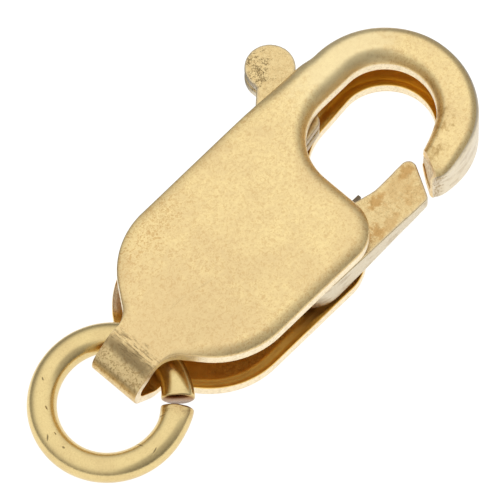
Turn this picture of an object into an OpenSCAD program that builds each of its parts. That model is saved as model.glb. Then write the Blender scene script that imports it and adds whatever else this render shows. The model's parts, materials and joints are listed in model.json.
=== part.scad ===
/* [Case] */
// Length of the case, from the fold of the tail to the end of the hook
case_l = 13; // [12.9:0.05:13.3]
// Width of the case over its body
case_w = 5; // [4.9:0.05:5.2]
// Thickness over both shells
case_h = 2.4; // [2.4:0.05:2.6]
// Thickness of the stamped sheet of the case
sheet_t = 0.38; // [0.34:0.01:0.4]
// Width of the band that rolls over along an edge of a shell
roll_w = 0.42; // [0.36:0.01:0.42]
// How far an open edge of the body dips below the flat of its shell
body_dip = 0.22; // [0.18:0.01:0.24]
// How far the inner edge of the hook dips
hook_dip = 0.42; // [0.36:0.01:0.43]

/* [Eye and tail] */
// Distance from the trigger's axis to the shoulder, where the eye begins
shoulder_x = 1.65; // [1.55:0.05:1.7]
// Distance from the shoulder to the centre of the hook's half circle
eye_l = 2.61; // [2.55:0.01:2.7]
// Radius of the eye's round end
eye_r = 1.34; // [1.32:0.01:1.36]
// Width of the arm between the eye and the upper edge
arm_w = 1.16; // [1.14:0.01:1.2]
// Outer radius of the hook
hook_r = 2.5; // [2.48:0.01:2.52]
// Outer radius of the hook's lip, where it draws in to its cut end
lip_r = 2.03; // [1.95:0.01:2.1]
// Slant of the hook's cut end, from straight across
tip_slant = 30; // [27:1:33]
// Width of the strip that joins the shells at the tail
tail_w = 1.54; // [1.4:0.02:1.6]
// Slope of that strip down to its fold
tail_slope = 40; // [36:1:44]

/* [Trigger] */
// Thickness over both layers of the trigger at its heel
trigger_h = 0.9; // [0.8:0.01:0.92]
// Thickness of the trigger's sheet
trigger_t = 0.26; // [0.22:0.01:0.26]
// Radius of the round thumb tab
thumb_r = 0.68; // [0.6:0.02:0.7]
// Radius of the pin that the trigger turns on
pin_r = 0.3; // [0.26:0.01:0.32]

/* [Jump ring] */
// Outside diameter of the jump ring
ring_d = 4.4; // [4.3:0.02:4.5]
// Diameter of its round wire
wire_d = 0.78; // [0.7:0.02:0.8]
// Opening left at the ring's cut, in degrees
ring_gap = 7; // [5:1:9]

/* [Hidden] */
$fn = 96;
mid_z = case_h / 2;
half_w = case_w / 2;
// Columns of a path's rows: straight run, radius and angle of the turn after
// it (left is positive), and the edge at its end: its dip, its share of full
// wall, and its size and height as a share of the whole
RUN = 0;
RADIUS = 1;
TURN = 2;
DIP = 3;
WALL = 4;
KEEP = 5;
step_angle = 9;

// The tail's strip slopes from each shell to a fold at mid height
tail_bend_r = 0.4;
tail_keep = 0.72;
fold_r = 0.38;
hook_x = shoulder_x + eye_l;
tail_end = hook_x + hook_r - case_l;
strip_z = mid_z + (mid_z - sheet_t / 2) * tail_keep;
tail_rise = strip_z - mid_z - tail_bend_r * (1 - cos(tail_slope)) - fold_r * cos(tail_slope);
tail_run = tail_rise / sin(tail_slope);
tail_x = tail_end + sheet_t * tail_keep / 2 + fold_r * (1 - sin(tail_slope))
    + tail_run * cos(tail_slope) + tail_bend_r * sin(tail_slope);

// Outline of the body, walked with the metal on the left
tail_turn = 54;
fillet_r = 0.7;
cheek_r = 2.4;
corner_r = 1.1;
cheek_run = (half_w - tail_w / 2 - (fillet_r + cheek_r) * (1 - cos(tail_turn))) / sin(tail_turn);
corner_x = shoulder_x - corner_r;
side_x = tail_x + (fillet_r + cheek_r) * sin(tail_turn) + cheek_run * cos(tail_turn);
fillet_dip = 0.15;
fillet_keep = 0.86;
cheek_keep = 0.96;

// Lower edge, front corner, throat and inside of the hook, from the tail
throat_r = 1.65;
throat_y = half_w - arm_w;
hook_y = half_w - hook_r;
eye_x = hook_x + 0.06;
eye_turn = 150;
lip_in_r = 2.5;
lip_in_turn = 20;
lip_keep = 0.83;
tip_keep = 0.78;
low_start = [tail_x, -tail_w / 2, 0];
low_rows = [
    [0, fillet_r, -tail_turn, fillet_dip, 0, fillet_keep],
    [cheek_run, 0, 0, body_dip, 0, cheek_keep],
    [0, cheek_r, tail_turn, body_dip, 0, 1],
    [corner_x - side_x, corner_r, 90, body_dip, 0, 1],
    [half_w - corner_r + throat_y - throat_r, throat_r, -90, hook_dip, 0, 1],
    [eye_x - shoulder_x - throat_r, eye_r, -eye_turn, hook_dip, 0, lip_keep],
    [0, lip_in_r, -lip_in_turn, hook_dip, 0, tip_keep]
];

// The hook's slanted cut runs from the end of its inside to the lip's circle
lip_turn = 40;
lip_at = [hook_x + (hook_r - lip_r) * sin(lip_turn), hook_y - (hook_r - lip_r) * cos(lip_turn)];
eye_end = after_turn([eye_x, throat_y, 0], low_rows[5]);
tip_in = after_turn(eye_end, low_rows[6]);
tip_from = [tip_in[0], tip_in[1]] - lip_at;
tip_toward = [-sin(tip_slant), -cos(tip_slant)];
tip_along = tip_from * tip_toward;
tip_w = sqrt(pow(tip_along, 2) - tip_from * tip_from + pow(lip_r, 2)) - tip_along;
tip_out = tip_from + tip_w * tip_toward;
cut_angle = atan(tip_out[0] / tip_out[1]);
low_slant = 180 - eye_turn - lip_in_turn + tip_slant;

// Outside of the lip and the hook, which is a wall as far as wall_x, then the
// upper edge back to the tail
wall_x = hook_x - 0.06;
wall_fade = 0.8;
high_start = [lip_at[0] + tip_out[0], lip_at[1] + tip_out[1], -cut_angle];
high_rows = [
    [0, lip_r, cut_angle + lip_turn, 0, 1, lip_keep],
    [0, hook_r, 180 - lip_turn, 0, 1, 1],
    [hook_x - wall_x, 0, 0, 0, 1, 1],
    [wall_fade, 0, 0, body_dip, 0, 1],
    [wall_x - wall_fade - corner_x, 0, 0, body_dip, 0, 1],
    [corner_x - side_x, cheek_r, tail_turn, body_dip, 0, cheek_keep],
    [cheek_run, 0, 0, fillet_dip, 0, fillet_keep],
    [0, fillet_r, -tail_turn, 0, 0, tail_keep]
];
// The strip's middle line, seen from the side
strip_start = [tail_x, strip_z, 180];
strip_rows = [
    [0, tail_bend_r, tail_slope, 0, 0, 1],
    [tail_run, fold_r, 90 - tail_slope, 0, 0, 1]
];

// Corners of the trigger's plan, its axis at the origin: x, y and rounding
X = 0;
Y = 1;
ROUND = 2;
trigger_corners = [
    [-1.2, -2.4, 1.05],
    [3.3, -2.48, 0.15],
    [3.98, -1.25, 0.22],
    [2.5, -1.28, 1],
    [1.5, -1.02, 0.4],
    [1.45, 0.85, 0.5],
    [3.05, 1.15, 0.3],
    [3.6, 2.7, 0.2],
    [3.3, 3.25, 0],
    [2.75, 3.2, 0],
    [0.3, 1.15, 0.8],
    [-1.2, 0.6, 0.6]
];
thumb_at = [3.31, 3.25];
trigger_high = mid_z + 0.35;
// Its back is lowest at the heel. It rises along x to the gate's tip and, from
// the line at split_y, along y to the thumb
heel_low = trigger_high - trigger_h;
tip_low = 1.2;
thumb_low = 0.88;
taper_from = 0;
taper_to = 3.8;
split_y = -0.95;
thumb_y = -0.3;
// The wall's inner side follows the gate's lower edge, which falls this much
// over the length of the view
gate_fall = 0.13;
trigger_reach = 6;
pin_gap = 0.05;
end_gap = 0.02;

// The spring: a strip bent round the pin, its ends at the shoulder and the wall
spring_t = 0.1;
spring_h = 0.1;
spring_z = mid_z - 0.04;
spring_start = [2.22, -1, 180];
spring_rows = [
    [0.45, 0.3, -44],
    [1.76, 0.42, 183],
    [2.6, 0, 0]
];

// The ring hangs in the tail and leans from there down to its far side
ring_r = (ring_d - wire_d) / 2;
ring_at = [tail_end + 1.48, -0.14];
ring_z = 1.08;
ring_lean = asin((ring_z - wire_d / 2) / (2 * ring_r));
ring_cut = -51;

// The origin is under the middle of the whole, on the plane it lies on
centre_x = (hook_x + hook_r + ring_at[0] - 2 * ring_r * cos(ring_lean) - wire_d / 2) / 2;
centre_y = (thumb_at[1] + thumb_r - half_w) / 2;

function start_of(rows, start, i) =
    i == 0 ? start : after_turn(after_run(start_of(rows, start, i - 1), rows[i - 1][RUN]), rows[i - 1]);
function after_run(at, run) = [at[0] + run * cos(at[2]), at[1] + run * sin(at[2]), at[2]];
function after_turn(at, row) =
    let (
        k = sign(row[TURN]) * row[RADIUS],
        middle = [at[0] - k * sin(at[2]), at[1] + k * cos(at[2])],
        h = at[2] + row[TURN]
    )
    [middle[0] + k * sin(h), middle[1] - k * cos(h), h];
function part_turn(row, share) = [0, row[RADIUS], row[TURN] * share];
function left_of(at, inset) = [at[0] - inset * sin(at[2]), at[1] + inset * cos(at[2])];
function mix(a, b, share) = a + (b - a) * share;

// Stations along a path: x, y and heading, then the edge's three columns
function stations(rows, start, edge) = concat([concat(start, edge)], [
    for (i = [0 : len(rows) - 1])
        let (
            row = rows[i],
            bend = after_run(start_of(rows, start, i), row[RUN]),
            n = row[RADIUS] > 0 ? ceil(abs(row[TURN]) / step_angle) : 0,
            was = i == 0 ? edge : [for (c = [DIP : KEEP]) rows[i - 1][c]],
            will = [for (c = [DIP : KEEP]) row[c]]
        )
        each concat(
            row[RUN] > 0
                ? [concat(bend, n > 0 ? was : will)]
                : [],
            n > 0
                ? [
                    for (k = [1 : n])
                        concat(after_turn(bend, part_turn(row, k / n)), mix(was, will, k / n))
                ]
                : []
        )
]);
function points_of(rows, start, inset) = [
    for (at = stations([for (row = rows) concat(row, [0, 0, 0])], start, [0, 0, 0])) left_of(at, inset)
];

// Section of an edge, as distance in from the outline and height: from the
// flat over the rounded edge to its foot, then back along the under side.
// An open edge dips along a curve; a walled one turns down to mid height over
// a quarter of an ellipse
top_steps = 5;
under_steps = 3;
wall_w = 0.46;
wall_h = 0.75;
function dipped(dip, w) = case_h - dip * pow(1 - w / roll_w, 2);
function open_edge(dip) = concat(
    [for (k = [top_steps : -1 : 0]) [roll_w * k / top_steps, dipped(dip, roll_w * k / top_steps)]],
    [for (w = [0, sheet_t / 2]) [w, dipped(dip, w) - sheet_t]],
    [
        for (k = [0 : under_steps])
            let (w = mix(sheet_t, roll_w, k / under_steps))
            [w, dipped(dip, w) - sheet_t]
    ]);
function rolled(inset, a) =
    [wall_w - (wall_w - inset) * cos(a), case_h - wall_h + (wall_h - inset) * sin(a)];
walled_edge = concat(
    [for (k = [top_steps : -1 : 0]) rolled(0, 90 * k / top_steps)],
    [[0, mid_z], [sheet_t, mid_z]],
    [for (k = [0 : under_steps]) rolled(sheet_t, 90 * k / under_steps)]);
chain = top_steps + under_steps + 4;
foot = top_steps + 1;

// The section set at a station, turned and stretched to lie in a slanted cut
function edge_at(at, slant) = [
    for (p = mix(open_edge(at[3]), walled_edge, at[4]))
        let (toward = left_of([0, 0, at[2] + slant], p[0] * at[5] / cos(slant)))
        [at[0] + toward[0], at[1] + toward[1], mix(mid_z, p[1], at[5])]
];

low = stations(low_rows, low_start, [0, 0, tail_keep]);
high = stations(high_rows, high_start, [0, 1, tip_keep]);
strip = stations(strip_rows, strip_start, [0, 0, 1]);
low_n = len(low);
high_n = len(high);
edge_points = [
    for (i = [0 : low_n - 1]) each edge_at(low[i], i == low_n - 1 ? -low_slant : 0),
    for (i = [0 : high_n - 1]) each edge_at(high[i], i == 0 ? cut_angle - tip_slant : 0)
];

// Rings round the strip, the first being the two edges where it leaves the body
ring = 2 * chain;
edges_end = (low_n + high_n) * chain;
function ring_index(k, r) =
    k > 0 ? edges_end + (k - 1) * ring + r % ring
    : r % ring < chain ? r % ring
    : edges_end + chain - 1 - r % ring;
strip_points = [
    for (k = [1 : len(strip) - 1])
        for (r = [0 : ring - 1])
            let (p = edge_points[ring_index(0, r)], h = p[2] - strip_start[1])
            [strip[k][0] + h * sin(strip[k][2]), p[1], strip[k][1] - h * cos(strip[k][2])]
];

// The flat inside the edges and the cut end, as pieces between their stations
function zip(a, b, n) = [for (k = [0 : n - 1]) [a + k, a + k + 1, b - k - 1, b - k]];
function turned(face) = [for (k = [len(face) : -1 : 1]) face[k % len(face)]];
function last_of(rows, i) = len(stations([for (k = [0 : i]) rows[k]], [0, 0, 0], [0, 0, 0])) - 1;
function ladder(a, rungs, b, steps) = [
    for (k = [0 : rungs - 1])
        concat([a + k, a + k + 1],
            [for (i = [round((k + 1) * steps / rungs) : -1 : round(k * steps / rungs)]) b - i])
];
function fan(piece) = [for (k = [1 : len(piece) - 2]) [piece[0], piece[k], piece[k + 1]]];
corner_i = last_of(low_rows, 2) + 1;
throat_i = last_of(low_rows, 4);
cut_i = low_n + last_of(high_rows, 0);
top_i = low_n + last_of(high_rows, 1);
lip_i = throat_i + 1 + top_i - cut_i;
flat_pieces = concat(
    zip(0, low_n + high_n - 1, corner_i),
    [concat([top_i + 3], [for (i = [corner_i : throat_i]) i], [top_i + 2])],
    [[throat_i, throat_i + 1, top_i, top_i + 1, top_i + 2]],
    zip(throat_i + 1, top_i, top_i - cut_i),
    ladder(lip_i, low_n - 1 - lip_i, cut_i, cut_i - low_n));
cut_low = (low_n - 1) * chain;
cut_high = low_n * chain;

half_points = concat(edge_points, strip_points);
half_n = len(half_points);
function walled_at(i) = half_points[i * chain + foot][2] < mid_z + 0.001;
half_faces = concat(
    [
        for (i = [0 : low_n + high_n - 2], j = [0 : chain - 2])
            let (a = i * chain + j, b = a + chain)
            if (i != low_n - 1 && !(j == foot && walled_at(i) && walled_at(i + 1)))
                each [[a, b, b + 1], [a, b + 1, a + 1]]
    ],
    [
        for (k = [0 : len(strip) - 2], r = [0 : ring - 1])
            let (
                a = ring_index(k, r),
                b = ring_index(k, r + 1),
                c = ring_index(k + 1, r + 1),
                d = ring_index(k + 1, r)
            )
            each [[a, b, c], [a, c, d]]
    ],
    [for (piece = flat_pieces) each fan(turned([for (i = piece) i * chain]))],
    [for (piece = flat_pieces) each fan([for (i = piece) i * chain + chain - 1])],
    [for (piece = zip(0, chain - 1, chain / 2 - 1)) each fan(turned([for (j = piece) cut_low + j]))],
    [for (piece = zip(0, chain - 1, chain / 2 - 1)) each fan([for (j = piece) cut_high + j])],
    fan([cut_low, cut_high, cut_high + chain - 1, cut_low + chain - 1])
);

// The back shell mirrors the front one and shares its points at mid height
function twin(i) = abs(half_points[i][2] - mid_z) < 0.001 ? i : i + half_n;
back_points = [for (p = half_points) [p[0], p[1], case_h - p[2]]];
back_faces = [for (face = half_faces) turned([for (i = face) twin(i)])];

module case() {
    color("#e6c887")
        placed()
            polyhedron(
                points = concat(half_points, back_points),
                faces = concat(half_faces, back_faces));
}

module placed() {
    translate([-centre_x, -centre_y, 0])
        children();
}

// A closed outline through a table of corners, each rounded by its own arc
function rounded(corners) = [
    for (i = [0 : len(corners) - 1])
        let (
            n = len(corners),
            c = [corners[i][X], corners[i][Y]],
            before = [corners[(i + n - 1) % n][X], corners[(i + n - 1) % n][Y]] - c,
            after = [corners[(i + 1) % n][X], corners[(i + 1) % n][Y]] - c,
            u = before / norm(before),
            v = after / norm(after),
            half = acos(u * v) / 2,
            r = corners[i][ROUND],
            middle = c + (u + v) / norm(u + v) * r / sin(half),
            start = c + u * r / tan(half) - middle,
            end = c + v * r / tan(half) - middle,
            steps = ceil((180 - 2 * half) / step_angle),
            turn = start[0] * end[1] - start[1] * end[0] > 0 ? 180 - 2 * half : 2 * half - 180
        )
        each r == 0 ? [c] : [for (k = [0 : steps]) middle + swung(start, turn * k / steps)]
];
function swung(p, a) = [p[0] * cos(a) - p[1] * sin(a), p[0] * sin(a) + p[1] * cos(a)];

module trigger_plan() {
    polygon(rounded(trigger_corners));
    translate(thumb_at)
        circle(thumb_r);
}

// The strip of the plan along the heel and the lower edge that is wall
module wall_plan() {
    heel = trigger_corners[0];
    difference() {
        trigger_plan();
        polygon(rounded([
            [heel[X] + trigger_t, heel[Y] + trigger_t, heel[ROUND] - trigger_t],
            [heel[X] + trigger_reach, heel[Y] + trigger_t - gate_fall, 0],
            [heel[X] + trigger_reach, trigger_reach, 0],
            [heel[X] + trigger_t, trigger_reach, 0]
        ]));
    }
}

// Everything between the trigger's back and a height above it, up to a level:
// a side view for the gate's half, an end view for the thumb's
module above_back(depth, level) {
    far = trigger_reach;
    tip_top = min(level, tip_low + depth);
    thumb_top = min(level, thumb_low + depth);
    translate([0, split_y, 0])
        rotate([90, 0, 0])
            linear_extrude(far)
                polygon([
                    [-far, heel_low], [taper_from, heel_low], [taper_to, tip_low], [far, tip_low],
                    [far, tip_top], [taper_to, tip_top], [taper_from, heel_low + depth],
                    [-far, heel_low + depth]
                ]);
    translate([-far, 0, 0])
        rotate([90, 0, 90])
            linear_extrude(2 * far)
                polygon([
                    [split_y, heel_low], [thumb_y, thumb_low], [far, thumb_low],
                    [far, thumb_top], [thumb_y, thumb_top], [split_y, heel_low + depth]
                ]);
}

module trigger() {
    color("#e8cf95")
        placed()
            difference() {
                union() {
                    translate([0, 0, trigger_high - trigger_t])
                        linear_extrude(trigger_t)
                            trigger_plan();
                    intersection() {
                        linear_extrude(trigger_high)
                            trigger_plan();
                        above_back(trigger_t, trigger_high);
                    }
                    intersection() {
                        linear_extrude(trigger_high)
                            wall_plan();
                        above_back(trigger_high - heel_low, trigger_high);
                    }
                }
                cylinder(r = pin_r + pin_gap, h = case_h);
            }
}

module pivot_pin() {
    color("#b8a070")
        placed()
            translate([0, 0, sheet_t + end_gap])
                cylinder(r = pin_r, h = case_h - 2 * (sheet_t + end_gap));
}

module spring() {
    outer = points_of(spring_rows, spring_start, -spring_t / 2);
    inner = points_of(spring_rows, spring_start, spring_t / 2);
    color("#8a7a62")
        placed()
            translate([0, 0, spring_z])
                linear_extrude(spring_h)
                    polygon(concat(outer, [for (k = [len(inner) - 1 : -1 : 0]) inner[k]]));
}

module jump_ring() {
    color("#e0c070")
        placed()
            translate([ring_at[0], ring_at[1], ring_z])
                rotate([0, -ring_lean, 0])
                    translate([-ring_r, 0, 0])
                        rotate([0, 0, ring_cut + ring_gap / 2])
                            rotate_extrude(angle = 360 - ring_gap)
                                translate([ring_r, 0])
                                    circle(wire_d / 2);
}

case();
trigger();
pivot_pin();
spring();
jump_ring();
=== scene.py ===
import json
import math

import bmesh
import bpy
from mathutils import Matrix, Vector, noise
from mathutils.geometry import delaunay_2d_cdt


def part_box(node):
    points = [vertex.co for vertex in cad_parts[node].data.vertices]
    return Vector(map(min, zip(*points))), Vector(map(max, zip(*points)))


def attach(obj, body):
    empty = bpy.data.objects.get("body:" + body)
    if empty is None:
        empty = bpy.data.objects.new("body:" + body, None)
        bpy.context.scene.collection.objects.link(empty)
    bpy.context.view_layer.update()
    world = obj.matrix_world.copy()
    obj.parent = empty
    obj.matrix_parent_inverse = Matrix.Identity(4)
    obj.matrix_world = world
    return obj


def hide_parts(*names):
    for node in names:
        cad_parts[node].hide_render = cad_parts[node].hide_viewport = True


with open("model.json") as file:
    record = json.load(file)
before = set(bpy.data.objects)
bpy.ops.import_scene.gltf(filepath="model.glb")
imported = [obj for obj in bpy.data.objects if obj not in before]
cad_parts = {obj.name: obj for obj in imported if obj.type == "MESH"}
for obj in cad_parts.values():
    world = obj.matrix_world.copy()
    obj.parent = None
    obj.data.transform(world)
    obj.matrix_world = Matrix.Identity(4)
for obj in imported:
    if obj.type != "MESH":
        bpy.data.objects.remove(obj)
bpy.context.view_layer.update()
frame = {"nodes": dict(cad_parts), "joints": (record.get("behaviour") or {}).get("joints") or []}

mm = 0.001
pinLow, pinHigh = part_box("pivot_pin")
pinAt = (pinLow + pinHigh) / 2  # the trigger's axis, where the plan sizes below count from
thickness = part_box("case")[1].z / mm
midZ = thickness / 2
joints = {joint["name"]: joint for joint in frame["joints"]}


def smooth(t):
    t = min(max(t, 0.0), 1.0)
    return t * t * (3 - 2 * t)


def mix(a, b, t):
    return a + (b - a) * t


# 0 below low, 1 over low plus upRun and up to high, 0 again over high plus downRun
def between(value, low, upRun, high, downRun):
    return smooth((value - low) / upRun) * (1 - smooth((value - high) / downRun))


def inFrame(x, y, z):
    return Vector((x * mm + pinAt.x, y * mm + pinAt.y, z * mm))


def inPlan(point):
    return Vector(((point.x - pinAt.x) / mm, (point.y - pinAt.y) / mm, point.z / mm))


# Paths on the plan: a place is x, y and heading in degrees, turns to the left are positive
def runOn(at, run):
    h = math.radians(at[2])
    return (at[0] + run * math.cos(h), at[1] + run * math.sin(h), at[2])


def turnOn(at, radius, turn):
    k = math.copysign(radius, turn)
    h, g = math.radians(at[2]), math.radians(at[2] + turn)
    return (at[0] + k * (math.sin(g) - math.sin(h)), at[1] + k * (math.cos(h) - math.cos(g)), at[2] + turn)


def walk(rows, start, edge, step):
    stations = [start + edge]
    at = start
    for run, radius, turn, *will in rows:
        was = stations[-1][3:]
        count = math.ceil(run / step)
        for k in range(1, count + 1):
            t = k / count
            now = was if turn else tuple(mix(a, b, smooth(t)) for a, b in zip(was, will))
            stations.append(runOn(at, run * t) + now)
        at = runOn(at, run)
        count = math.ceil(max(radius * math.radians(abs(turn)) / step, abs(turn) / 6)) if turn else 0
        for k in range(1, count + 1):
            t = k / count
            now = tuple(mix(a, b, smooth(t)) for a, b in zip(was, will))
            stations.append(turnOn(at, radius, turn * t) + now)
        at = turnOn(at, radius, turn) if turn else at
    return stations


# The case: sizes in millimetres, angles in degrees
caseShape = {
    "length": 13.0,
    "width": 5.0,
    "sheet": 0.38,
    "roll": 0.42,  # width of the band that dips along an edge of the body
    "hookRoll": 0.42,
    "bodyDip": 0.22,
    "hookDip": 0.37,
    "farDip": 0.1,  # the body's far edge dips less than its near one
    "armDip": 0.28,
    "armRun": 2.2,
    "slopeDip": 0.34,  # the near side of the hook's wall: a slope down to a worn corner
    "slopeRange": (5, 80),  # angle round the hook where it starts to fade, and the fade's length
    "slopeBack": 1.5,  # it starts this far behind the hook's centre
    "cornerSoft": 0.09,
    "shoulderX": 1.65,
    "eyeLength": 2.61,
    "eyeRadius": 1.34,
    "eyeShift": 0.06,  # the eye's round end is this far past the hook's centre
    "eyeTurn": 150,
    "lipInRadius": 2.5,
    "lipInTurn": 20,
    "armWidth": 1.16,
    "hookRadius": 2.5,
    "lipRadius": 2.03,
    "lipTurn": 40,
    "tipSlant": 30,
    "lipKeep": 0.83,  # the keeps are shares of the full thickness, where the shells draw together
    "tipKeep": 0.78,
    "slantFade": 1.2,  # how far from the cut its slant is gone
    "slantStations": 24,
    "narrowing": 2.2,  # how fast the rolled bands narrow where the shells draw together
    "wallWidth": 0.46,
    "wallHeight": 0.75,
    "wallX": 4.2,
    "wallFade": 0.8,
    "throatRadius": 1.65,
    "cornerRadius": 1.1,
    "cheekRadius": 2.4,
    "filletRadius": 0.7,
    "tailTurn": 54,
    "tailWidth": 1.54,
    "tailDip": 0.15,
    "cheekKeep": 0.96,
    "neckKeep": 0.86,
    "tailSlope": 40,
    "tailKeep": 0.72,
    "tailBend": 0.4,
    "foldRadius": 0.38,
    "backShift": -0.2,  # the back shell's body sits this much nearer the tail
    "bodySpan": (0.9, 0.7, 1.3),  # run up from the tail, end, run down
    "tipReach": 0.7,
    "tipDroop": 0.4,  # the front shell's outer corner sinks, and hangs out to the side
    "tipHang": 0.24,
    "tipPinch": 0.35,  # the back shell's inner corner is drawn in and its outer one let down
    "tipDrop": 0.2,
    "tipWorn": 0.1,  # how far the cut's outer corner is worn back, and how far round it
    "tipWornReach": 0.22,
    "armShift": -0.1,  # the back shell's rim beside the eye, and where along and across it shifts
    "armSpanX": (1.9, 0.6, 3.0, 1.6),
    "armSpanY": (0, 0.8, 1.4, 0.9),
    "plugDepth": 0.03,
    "plugOver": 1.1,  # its rim runs into the sheet
    "softEdge": 0.05,
    "step": 0.09,
    "grid": 0.17,
    "unevenness": 0.007,
    "unevenScale": 0.9,
    "unevenSeed": 3.1,
    "unevenRise": 0.3,
}


def caseStations(c):
    halfWidth = c["width"] / 2
    sheet = c["sheet"] * c["tailKeep"]
    hookX = c["shoulderX"] + c["eyeLength"]
    hookY = halfWidth - c["hookRadius"]
    slope = math.radians(c["tailSlope"])
    stripZ = midZ + (midZ - c["sheet"] / 2) * c["tailKeep"]
    rise = stripZ - midZ - c["tailBend"] * (1 - math.cos(slope)) - c["foldRadius"] * math.cos(slope)
    tailRun = rise / math.sin(slope)
    tailEnd = hookX + c["hookRadius"] - c["length"]
    tailX = (tailEnd + sheet / 2 + c["foldRadius"] * (1 - math.sin(slope)) + tailRun * math.cos(slope)
             + c["tailBend"] * math.sin(slope))
    turn = math.radians(c["tailTurn"])
    bends = c["filletRadius"] + c["cheekRadius"]
    cheekRun = (halfWidth - c["tailWidth"] / 2 - bends * (1 - math.cos(turn))) / math.sin(turn)
    sideX = tailX + bends * math.sin(turn) + cheekRun * math.cos(turn)
    cornerX = c["shoulderX"] - c["cornerRadius"]
    throatY = halfWidth - c["armWidth"]
    body, far, hook = c["bodyDip"], c["farDip"], c["hookDip"]

    eyeRun = hookX + c["eyeShift"] - c["shoulderX"] - c["throatRadius"]
    # rows: run, then a bend's radius and turn, and what the edge has come to there: dip, wall, keep
    low = [
        (0, c["filletRadius"], -c["tailTurn"], c["tailDip"], 0, c["neckKeep"]),
        (cheekRun, 0, 0, body, 0, c["cheekKeep"]),
        (0, c["cheekRadius"], c["tailTurn"], body, 0, 1),
        (cornerX - sideX, c["cornerRadius"], 90, body, 0, 1),
        (halfWidth - c["cornerRadius"] + throatY - c["throatRadius"], c["throatRadius"], -90, hook, 0, 1),
        (eyeRun, c["eyeRadius"], -c["eyeTurn"], hook, 0, c["lipKeep"]),
        (0, c["lipInRadius"], -c["lipInTurn"], hook, 0, c["tipKeep"]),
    ]
    lowEdge = walk(low, (tailX, -c["tailWidth"] / 2, 0), (0, 0, c["tailKeep"]), c["step"])

    # the slanted cut, from the end of the eye to the lip's circle
    lip, drawIn = math.radians(c["lipTurn"]), c["hookRadius"] - c["lipRadius"]
    lipAt = Vector((hookX + drawIn * math.sin(lip), hookY - drawIn * math.cos(lip)))
    tipIn = Vector(lowEdge[-1][:2]) - lipAt
    slant = math.radians(c["tipSlant"])
    toward = Vector((-math.sin(slant), -math.cos(slant)))
    along = tipIn.dot(toward)
    reach = math.sqrt(along ** 2 - tipIn.dot(tipIn) + c["lipRadius"] ** 2) - along
    tipOut = tipIn + toward * reach
    cutAngle = math.degrees(math.atan(tipOut.x / tipOut.y))
    high = [
        (0, c["lipRadius"], cutAngle + c["lipTurn"], 0, 1, c["lipKeep"]),
        (0, c["hookRadius"], 180 - c["lipTurn"], 0, 1, 1),
        (hookX - c["wallX"], 0, 0, 0, 1, 1),
        (c["wallFade"], 0, 0, c["armDip"], 0, 1),
        (c["armRun"], 0, 0, far, 0, 1),
        (c["wallX"] - c["wallFade"] - c["armRun"] - cornerX, 0, 0, far, 0, 1),
        (cornerX - sideX, c["cheekRadius"], c["tailTurn"], far, 0, c["cheekKeep"]),
        (cheekRun, 0, 0, c["tailDip"], 0, c["neckKeep"]),
        (0, c["filletRadius"], -c["tailTurn"], 0, 0, c["tailKeep"]),
    ]
    highStart = (lipAt.x + tipOut.x, lipAt.y + tipOut.y, -cutAngle)
    highEdge = walk(high, highStart, (0, 1, c["tipKeep"]), c["step"])
    strip = walk(
        [(0, c["tailBend"], c["tailSlope"]), (tailRun, c["foldRadius"], 90 - c["tailSlope"])],
        (tailX, stripZ, 180), (), c["step"] * 0.6)
    slants = (c["eyeTurn"] + c["lipInTurn"] - 180 - c["tipSlant"], cutAngle - c["tipSlant"])
    return lowEdge, highEdge, strip, slants, tailX


# Points from a to b on a curve drawn towards the corner
def bend(a, corner, b, count):
    return [a * (1 - t) ** 2 + corner * (2 * t * (1 - t)) + b * t * t
            for t in (k / (count - 1) for k in range(count))]


topCount, cornerCount, wallCount, underCount, stripCount = 9, 4, 3, 6, 7
footIndex = topCount + cornerCount + wallCount - 1
chainCount = topCount + 2 * cornerCount + wallCount + underCount


# An edge's section, as distance in from the outline and height: from the flat
# over the edge and back underneath
def openSection(c, dip):
    onHook = smooth((dip - c["bodyDip"]) / (c["hookDip"] - c["bodyDip"]))
    soft, inset = c["softEdge"], mix(c["roll"], c["hookRoll"], onHook)

    def dipped(w):
        return thickness - dip * max(1 - w / inset, 0) ** 2

    down = Vector((0, -1))
    rim = Vector((0, dipped(0)))
    foot = rim + down * c["sheet"]
    top = [Vector((w, dipped(w))) for w in (mix(inset, soft * 1.4, k / topCount) for k in range(topCount))]
    upper = bend(Vector((soft, dipped(soft))), rim, rim + down * soft, cornerCount)
    side = [mix(rim + down * soft, foot - down * soft, k / (wallCount + 1)) for k in range(1, wallCount + 1)]
    underAt = Vector((foot.x + soft, foot.y + soft * 0.5))
    lower = bend(foot - down * soft, foot, underAt, cornerCount)
    flat = Vector((inset, thickness - c["sheet"]))
    under = [Vector((mix(underAt.x, flat.x, k / underCount), mix(underAt.y, flat.y, smooth(k / underCount))))
             for k in range(1, underCount + 1)]
    return top + upper + side + lower + under


# The same for the closed outer wall, down to mid height and back up inside:
# rolled over on the far side, a slope to a corner on the near side
def walledSection(c, near):
    wide, tall, sheet = c["wallWidth"], c["wallHeight"], c["sheet"]
    dip, soft = c["slopeDip"], c["cornerSoft"]

    def rolled(inset, a):
        a = math.radians(a)
        return Vector((wide - (wide - inset) * math.cos(a), thickness - tall + (tall - inset) * math.sin(a)))

    def sloped(w):
        return Vector((w, thickness - dip * (1 - w / wide) ** 2))

    count = topCount + cornerCount
    rolledOver = [rolled(0, 90 * (1 - k / (count - 1))) for k in range(count)]
    top = [sloped(mix(wide, soft, k / topCount)) for k in range(topCount)]
    corner = sloped(0)
    edge = bend(sloped(soft), corner, corner - Vector((0, soft)), cornerCount)
    outer = [mix(a, b, near) for a, b in zip(rolledOver, top + edge)]
    low = outer[-1].y
    side = [Vector((0, mix(low, midZ, k / wallCount))) for k in range(1, wallCount + 1)]
    inner = [Vector((sheet, mix(midZ, thickness - tall, k / (cornerCount - 1)))) for k in range(cornerCount)]
    under = [rolled(sheet, 90 * k / underCount) for k in range(1, underCount + 1)]
    return outer + side + inner + under


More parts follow.
